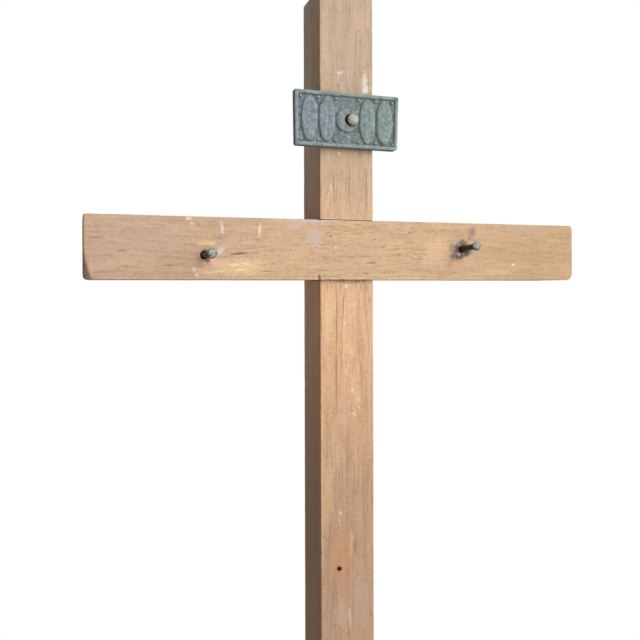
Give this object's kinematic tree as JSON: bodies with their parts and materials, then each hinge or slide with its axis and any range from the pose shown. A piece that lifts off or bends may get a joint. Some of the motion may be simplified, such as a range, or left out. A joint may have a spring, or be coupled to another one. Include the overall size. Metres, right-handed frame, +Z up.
{
  "type": "wooden crucifix",
  "caption": "Small wooden wall cross of halved sticks, with a cast title plate on a nail, pins left standing in its arms and a hanging ring at the back.",
  "frame": {"origin": "the hanging eye: the middle of the staple at the back, on the cross's back plane", "axes": "+Z up along the upright, -Y out of the front face towards the viewer, +X along the crossbar to the viewer's right"},
  "size_m": [0.1127, 0.0223, 0.183],
  "materials": {
    "upright_wood": "worn thin varnish, satin, long dark grain",
    "crossbar_wood": "worn thin varnish, satin, short dark pores",
    "verdigris_plate": "cast, dull grey-green patina",
    "nail_metal": "dull, worn",
    "pin_brass": "dull grey-green patina over brass",
    "hanger_brass": "aged drawn wire"
  },
  "bodies": {
    "cross": {"upright": "upright_wood", "crossbar": "crossbar_wood", "titulus_nail": "nail_metal", "hand_pin_left": "pin_brass", "hand_pin_right": "pin_brass", "hanger_staple": "hanger_brass"},
    "plate": {"titulus_plate": "verdigris_plate"},
    "ring": {"hanger_ring": "hanger_brass"}
  },
  "joints": [
    {"name": "plate_turn", "type": "hinge", "parent": "cross", "child": "plate", "pos_m": [0.00077, -0.01335, -0.01592], "axis": [0, 1, 0], "continuous": true},
    {"name": "ring_swing", "type": "hinge", "parent": "cross", "child": "ring", "pos_m": [0, 0.001, 0], "axis": [1, 0, 0], "range_deg": [0, 180]}
  ]
}
